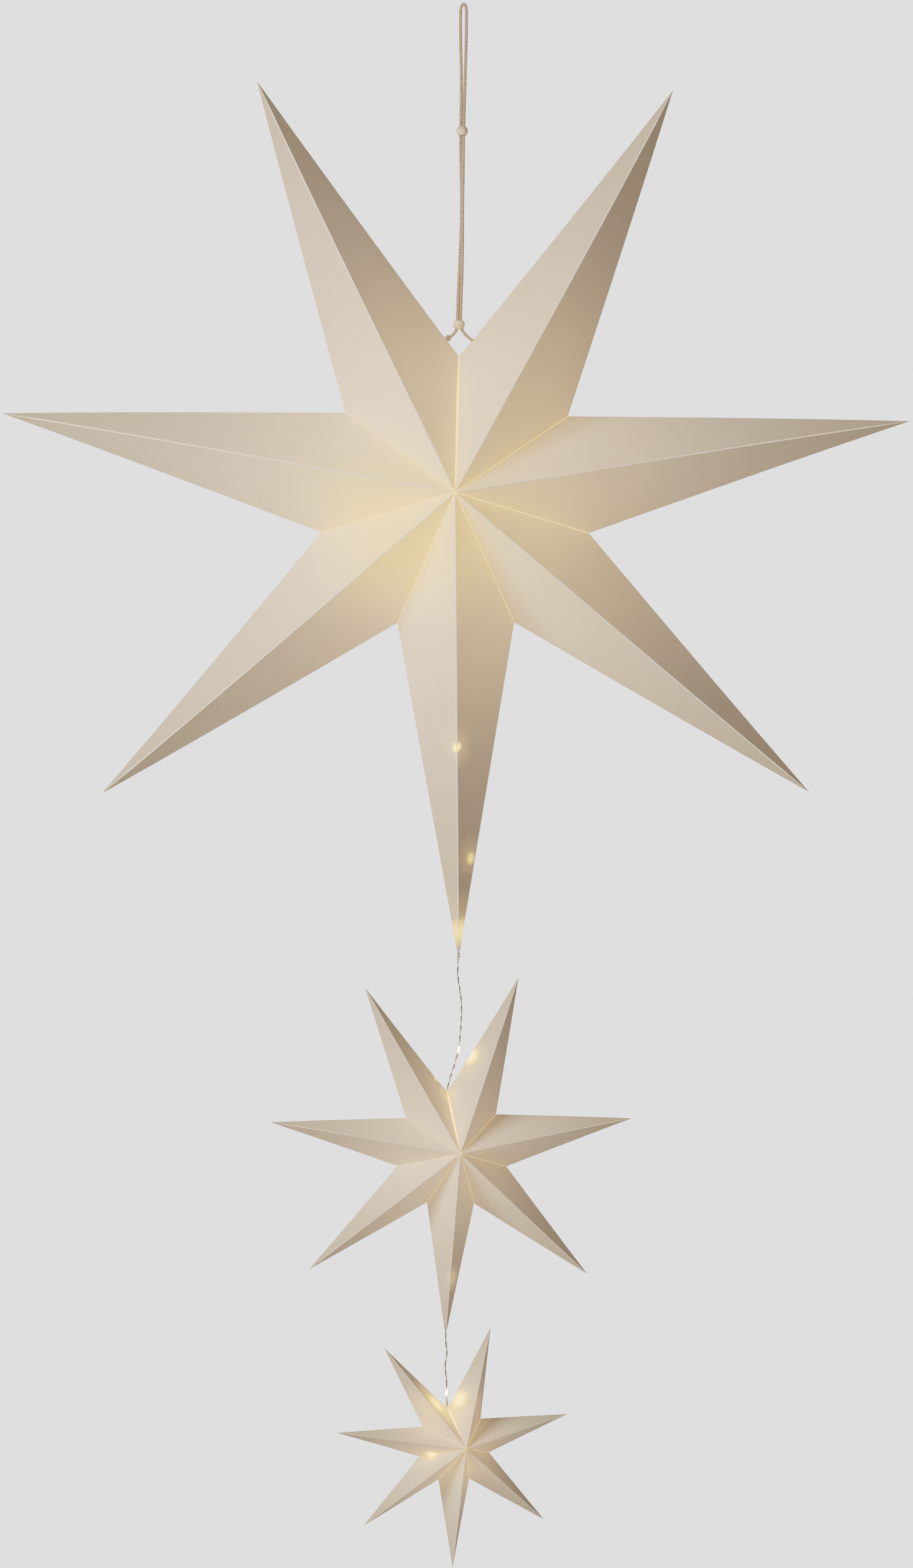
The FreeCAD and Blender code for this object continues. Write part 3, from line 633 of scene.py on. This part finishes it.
braided_cord("right_strand_cord", "cord_strand_right", [
    (0, 0, -89.7), (-0.16, -0.66, -112), (-0.7, -1.11, -138), (-0.72, -1.0, -164), (-0.96, -0.48, -188),
    (-1.7, 0, -206), (-2.2, 0, -221), (-2.2, -0.1, -233.4), (6.2, 0, -239.2),
], "hanging_cord")
LUG_Z = -312.5
braided_cord("inner_crossing_cord", "inner_cord", [
    (6.3, 0, -239.3), (12.0, 0, -244.2), (14.4, -2, -254), (12, -3.6, -266), (6, -4.2, -278),
    (-1, -4.4, -290), (-4.8, -4.3, -301), (-5.6, -4.2, LUG_Z), (-6.4, 4.2, LUG_Z),
    (-8, 4.3, -301), (-13, 4, -290), (-18.5, 3.4, -278), (-22.4, 2.2, -266), (-22.8, 0.8, -254),
    (-18.8, 0, -243.4), (-12.5, 0, -238.9),
], "large_star")


# ------------------------------------------------------------------ knot
# The left end is tied in an overhand knot that rests on the edge of the upper left point.

KNOT_SHIFT = Vector((0.6, 0, 0.2)) * MM     # the knot is drawn this far down the strand's end


def overhand_knot():
    """The same cord, drawn up into a small tight trefoil."""
    low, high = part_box("cord_knot")
    middle = (low + high) / 2 - KNOT_SHIFT
    size = (high.x - low.x) / 2
    points = []
    for n in range(121):
        a = 2 * pi * n / 120
        points.append(middle + Vector((sin(a) + 2 * sin(2 * a), -sin(3 * a) * 0.9, cos(a) - 2 * cos(2 * a)))
                      * (size / 4.6))
    bm = strands(points, lambda n: 0.55 * n, lambda n, which, turn: size * 0.22, size * 0.33, 6, 3, False)
    made = object_from(bm, "overhand_knot", cotton, 60)
    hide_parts("cord_knot")
    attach(made, "hanging_cord")


overhand_knot()


# ------------------------------------------------------------------ wooden beads
# Two 8 mm beads turned from beech, sanded and left unpainted, bored for the doubled cord.

def beech():
    """Beech: pale pinkish brown, rings about 1.2 mm apart, short darker ray flecks, sanded matt."""
    mat, tree, shader = material("sanded_beech")
    place = add(tree, "ShaderNodeTexCoord").outputs["Object"]
    stretched = add(tree, "ShaderNodeMapping", {"Vector": place, "Scale": (1.0, 1.0, 0.25)})
    rings = add(tree, "ShaderNodeTexWave", {"Vector": stretched.outputs["Vector"], "Scale": 260.0,
                                            "Distortion": 3.0, "Detail": 2.0}, wave_type="RINGS")
    flecks = add(tree, "ShaderNodeTexNoise", {"Vector": stretched.outputs["Vector"], "Scale": 2400.0,
                                              "Detail": 2.0})
    dark = add(tree, "ShaderNodeMapRange", {"Value": flecks.outputs[0], "From Min": 0.58, "From Max": 0.7,
                                            "To Min": 1.0, "To Max": 0.6})
    grain = blend(tree, rings.outputs["Fac"], "#ead9b8", "#dcc59c")
    tone = add(tree, "ShaderNodeVectorMath", {0: grain, 1: dark.outputs["Result"]},
               operation="MULTIPLY").outputs["Vector"]
    tree.links.new(tone, shader.inputs["Base Color"])
    shader.inputs["Roughness"].default_value = 0.5
    return mat


beech_mat = beech()
BEAD_SPAN = 50                # the turned outline spans this many degrees up and down
BEAD_FULLER = 0.2 * MM        # the belly stands this far outside the nominal bead
BEAD_BORE = 2.5 * MM          # radius


def wooden_bead(node, tilt):
    """A turned bead: half its outline spun round the bore."""
    low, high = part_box(node)
    middle = (low + high) / 2
    outer = (high.x - low.x) / 2 + BEAD_FULLER
    half = (high.z - low.z) / 2
    bm = bmesh.new()
    outline = [Vector((BEAD_BORE, 0, -half))]
    for n in range(15):
        a = radians(BEAD_SPAN * (n / 7 - 1))
        outline.append(Vector((outer * cos(a), 0, half * sin(a) / sin(radians(BEAD_SPAN)))))
    outline.append(Vector((BEAD_BORE, 0, half)))
    made = [bm.verts.new(p) for p in outline]
    for a, b in zip(made, made[1:] + made[:1]):
        bm.edges.new((a, b))
    bmesh.ops.spin(bm, geom=bm.verts[:] + bm.edges[:], cent=(0, 0, 0), axis=(0, 0, 1), angle=2 * pi, steps=48,
                   use_merge=True)
    bmesh.ops.remove_doubles(bm, verts=bm.verts, dist=1e-6)
    bmesh.ops.recalc_face_normals(bm, faces=bm.faces)
    bmesh.ops.transform(bm, matrix=Matrix.Translation(middle) @ Matrix.Rotation(radians(tilt), 4, "Y"),
                        verts=bm.verts)
    piece = object_from(bm, "wooden_" + node, beech_mat, 50)
    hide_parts(node)
    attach(piece, node)


wooden_bead("loop_bead", 4)
wooden_bead("tie_bead", 0)


# ------------------------------------------------------------------ micro light string
# Two lacquered silver wires, twisted together, part round each LED, which is sealed in a drop of
# clear epoxy. The string runs from the battery case through all three stars.

STRAND = 0.32 * MM            # radius of one wire, drawn plump with its lacquer so that it shows
TWIST = 14.0 * MM
DROP = 3.0
DROP_LENGTH = 6.0


def lacquered_wire():
    """Silver plated copper under clear lacquer: bright where it turns to the light."""
    mat, tree, shader = material("lacquered_silver_wire")
    place = add(tree, "ShaderNodeTexCoord").outputs["Object"]
    cloud = add(tree, "ShaderNodeTexNoise", {"Vector": place, "Scale": 500.0, "Detail": 2.0})
    tone = blend(tree, cloud.outputs[0], "#6d675c", "#b9b4a8")
    tree.links.new(tone, shader.inputs["Base Color"])
    rough = add(tree, "ShaderNodeMapRange", {"Value": cloud.outputs[0], "To Min": 0.2, "To Max": 0.4})
    tree.links.new(rough.outputs["Result"], shader.inputs["Roughness"])
    shader.inputs["Metallic"].default_value = 0.9
    return mat


def clear_epoxy():
    """Clear epoxy with the lit chip inside: a glassy skin that glows warm white all over."""
    mat, tree, shader = material("lit_clear_epoxy")
    place = add(tree, "ShaderNodeTexCoord").outputs["Object"]
    swirl = add(tree, "ShaderNodeTexNoise", {"Vector": place, "Scale": 700.0, "Detail": 1.0})
    tone = blend(tree, swirl.outputs[0], "#fff1cf", "#ffe2a0")
    tree.links.new(tone, shader.inputs["Base Color"])
    tree.links.new(tone, shader.inputs["Emission Color"])
    shader.inputs["Emission Strength"].default_value = 12.0
    shader.inputs["Roughness"].default_value = 0.08
    shader.inputs["IOR"].default_value = 1.55
    return mat


wire_mat = lacquered_wire()
epoxy_mat = clear_epoxy()


def led_drops(name, node, places, body):
    """Drops of epoxy: an egg shape for each LED, about twice as long as wide."""
    bm = bmesh.new()
    for place in places:
        made = bmesh.ops.create_uvsphere(bm, u_segments=20, v_segments=14, radius=1.0)["verts"]
        stretch = Matrix.Diagonal((DROP * 0.44, DROP * 0.44, DROP_LENGTH * 0.45, 1))
        bmesh.ops.transform(bm, matrix=Matrix.Scale(MM, 4) @ Matrix.Translation(place) @ stretch, verts=made)
    piece = object_from(bm, name, epoxy_mat, 60)
    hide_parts(node)
    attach(piece, body)
    return piece


def light_wire(name, node, route, drops, body):
    """A twisted pair that opens round each drop."""
    line = line_of(route)
    points = evenly(line, 0.7 * MM)
    step = length_of(points) / (len(points) - 1)
    centres = [Vector(place) * MM for place in drops]

    def turns_at(n):
        return 2 * pi * n * step / TWIST

    def offset_at(n, which, turn):
        nearest = min([(points[n] - c).length for c in centres] + [1.0])
        part = exp(-(nearest / (DROP_LENGTH * 0.42 * MM)) ** 2)
        return STRAND * 1.03 + part * DROP * 0.46 * MM

    bm = strands(points, turns_at, offset_at, STRAND, 6, 2, False)
    made = object_from(bm, name, wire_mat, 60)
    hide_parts(node)
    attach(made, body)


LARGE_DROPS = [(42.4, -12, -355), (-8, -14.8, -301), (-49.3, -8, -355), (-12.9, 7.8, -455),
               (-4.4, -9.2, -530), (0.6, -1.8, -611), (-4.0, 0, -653)]
light_wire("large_star_wire", "large_light_wire", [
    (2.0, 0, -387.5), (2.6, -1, -394), (9, -6, -402), (21, -10, -401), (32, -12, -391), (39, -13, -375),
    (43, -12, -355), (41, -11, -335), (34, -10, -317), (22, -12, -305), (8, -14, -299), (-8, -15, -300),
    (-24, -14, -307), (-37, -12, -319), (-46, -10, -336), (-50, -8, -355), (-47, -7, -374),
    (-39, -6, -390), (-28, -5, -404), (-17, -3, -417), (-10, 2, -434), (-13, 8, -453), (-15, 9, -474),
    (-10, 2, -494), (-5, -7, -512), (-4, -10, -530), (-8, -4, -549), (-12, 3, -566), (-8, 5, -583),
    (-1, 1, -597), (1.5, -2, -611), (-2, -2, -626), (-5.2, -0.4, -640), (-3.9, 0.3, -654),
    (-3.8, 0, -667), (-3.7, 0, -680.2),
], LARGE_DROPS, "large_star")
led_drops("large_star_drops", "large_led_drops", LARGE_DROPS, "large_star")

UPPER_DROP = (-3.5, 0, -745.8)
light_wire("upper_drop_wire", "drop_wire_upper", [
    (-3.7, 0, -680.6), (-4.7, 0, -691), (-2.8, -0.3, -702), (-1.2, -0.5, -714), (-1.9, -0.4, -728),
    (-2.9, 0, -742), (-5.5, 0, -754), (-9.6, -0.3, -765), (-11.9, -0.6, -774.8),
], [UPPER_DROP], "drop_wire_upper")
led_drops("upper_drop_led", "drop_led_upper", [UPPER_DROP], "drop_wire_upper")

MEDIUM_DROPS = [(4.1, 5.6, -809.5), (-14.4, -4.7, -835), (-8.7, 2.8, -871), (-10.4, -3.8, -899)]
light_wire("medium_star_wire", "medium_light_wire", [
    (-11.9, -0.59, -775.2), (-11.3, -0.5, -785.1), (-8.6, 1.4, -794), (-1.5, 5, -800),
    (5, 6, -808), (3, 2.5, -820), (-7, -3.5, -828), (-17, -5, -836), (-18, -1.5, -848),
    (-11.5, 3.5, -859), (-8, 3, -872), (-11, -2.5, -885), (-10.5, -4, -898), (-9, -2, -911),
    (-11.8, 0.4, -923), (-12.5, -0.6, -934), (-12.8, -0.72, -947),
], MEDIUM_DROPS, "medium_star")
led_drops("medium_star_drops", "medium_led_drops", MEDIUM_DROPS, "medium_star")

LOWER_DROP = (-12.3, -1.1, -990.5)
light_wire("lower_drop_wire", "drop_wire_lower", [
    (-12.8, -0.72, -947.4), (-12.9, -0.7, -955), (-11.6, -0.6, -962), (-13.1, -0.7, -969),
    (-12.9, -0.8, -976), (-12.0, -1, -984), (-12.5, -1.1, -992), (-11.7, -1.39, -1000.4),
], [LOWER_DROP], "drop_wire_lower")
led_drops("lower_drop_led", "drop_led_lower", [LOWER_DROP], "drop_wire_lower")

SMALL_DROPS = [(0.8, 3.2, -1020.5), (-8.2, -3.9, -1037.8), (-7.6, 2.5, -1062)]
light_wire("small_star_wire", "small_light_wire", [
    (-11.55, -1.38, -1000.8), (-10.62, -1.08, -1008.1), (-6.5, 1.5, -1014), (0, 4, -1019),
    (2, 2, -1026), (-3, -3, -1033), (-10, -4, -1039), (-12.5, -1, -1047), (-9, 2.5, -1055),
    (-7.3, 2.5, -1064),
], SMALL_DROPS, "small_star")
led_drops("small_star_drops", "small_led_drops", SMALL_DROPS, "small_star")


# ------------------------------------------------------------------ clear sleeve at the large tip
# A short piece of clear shrink tube grips the wire below the snipped tip, so that it can't slip back.

def shrink_tube():
    """Clear polyolefin, slightly milky, with a soft gloss."""
    mat, tree, shader = material("clear_shrink_tube")
    place = add(tree, "ShaderNodeTexCoord").outputs["Object"]
    haze = add(tree, "ShaderNodeTexNoise", {"Vector": place, "Scale": 900.0, "Detail": 2.0})
    tone = blend(tree, haze.outputs[0], "#b9b6ae", "#dedbd3")
    tree.links.new(tone, shader.inputs["Base Color"])
    shader.inputs["Roughness"].default_value = 0.25
    shader.inputs["Transmission Weight"].default_value = 0.35
    return mat


repaint("large_tip_sleeve", shrink_tube())


# ------------------------------------------------------------------ stage, camera and light
# A pale studio: floor and sky are bright to the eye but throw little light, and four soft boxes
# light the piece, the strongest from the left.

SKY_SEEN = 2.5                # brightness of the sky as it is looked at
SKY_LIGHT = 0.22              # and as it lights the piece
FLOOR_SEEN = 1.9
FLOOR_HALF = 3.5
FLOOR_Z = -1.6


def backdrop():
    """Seamless pale floor: it looks as bright as the sky but throws little light on the piece."""
    mat, tree, shader = material("pale_floor")
    shader.inputs["Base Color"].default_value = linear("#f4f4f2")
    shader.inputs["Roughness"].default_value = 0.9
    shader.inputs["Emission Color"].default_value = linear("#ffffff")
    looked_at = add(tree, "ShaderNodeLightPath").outputs["Is Camera Ray"]
    glow = add(tree, "ShaderNodeMapRange", {"Value": looked_at, "To Min": 0.0, "To Max": FLOOR_SEEN})
    tree.links.new(glow.outputs["Result"], shader.inputs["Emission Strength"])
    return mat


floor_bm = bmesh.new()
bmesh.ops.create_grid(floor_bm, x_segments=1, y_segments=1, size=FLOOR_HALF,
                      matrix=Matrix.Translation((0, 0, FLOOR_Z)))
floor = object_from(floor_bm, "floor", backdrop())

world = bpy.data.worlds.new("studio")
bpy.context.scene.world = world
world.use_nodes = True
sky = world.node_tree
seen = add(sky, "ShaderNodeLightPath").outputs["Is Camera Ray"]
background = sky.nodes["Background"]
level = add(sky, "ShaderNodeMapRange", {"Value": seen, "To Min": SKY_LIGHT, "To Max": SKY_SEEN})
sky.links.new(level.outputs["Result"], background.inputs["Strength"])
background.inputs["Color"].default_value = (1, 1, 1, 1)

VIEW_DISTANCE = 4.6
VIEW_HEIGHT = 1.12
MIDDLE = Vector((-5.1, 0, -556)) * MM
camera = bpy.data.objects.new("camera", bpy.data.cameras.new("camera"))
bpy.context.scene.collection.objects.link(camera)
camera.location = MIDDLE + Vector((0, -VIEW_DISTANCE, 0))
camera.rotation_euler = (pi / 2, 0, 0)
camera.data.sensor_fit = "VERTICAL"
camera.data.sensor_height = 24.0
camera.data.lens = camera.data.sensor_height * VIEW_DISTANCE / VIEW_HEIGHT
bpy.context.scene.camera = camera


def softbox(name, place, size, power, colour):
    lamp = bpy.data.lights.new(name, "AREA")
    lamp.size = size
    lamp.energy = power
    lamp.color = linear(colour)[:3]
    made = bpy.data.objects.new(name, lamp)
    bpy.context.scene.collection.objects.link(made)
    made.location = place
    made.rotation_euler = (MIDDLE - Vector(place)).to_track_quat("-Z", "Y").to_euler()


softbox("key_left", (-1.35, -1.4, 0.05), 0.8, 72, "#ffefd2")
softbox("fill_front", (0.4, -4.0, 0.6), 2.0, 6, "#fff1de")
softbox("fill_right", (1.9, -1.2, -0.7), 1.6, 7, "#ffdcc8")
softbox("back_left", (-1.6, 2.6, 0.4), 1.0, 24, "#fff4e6")
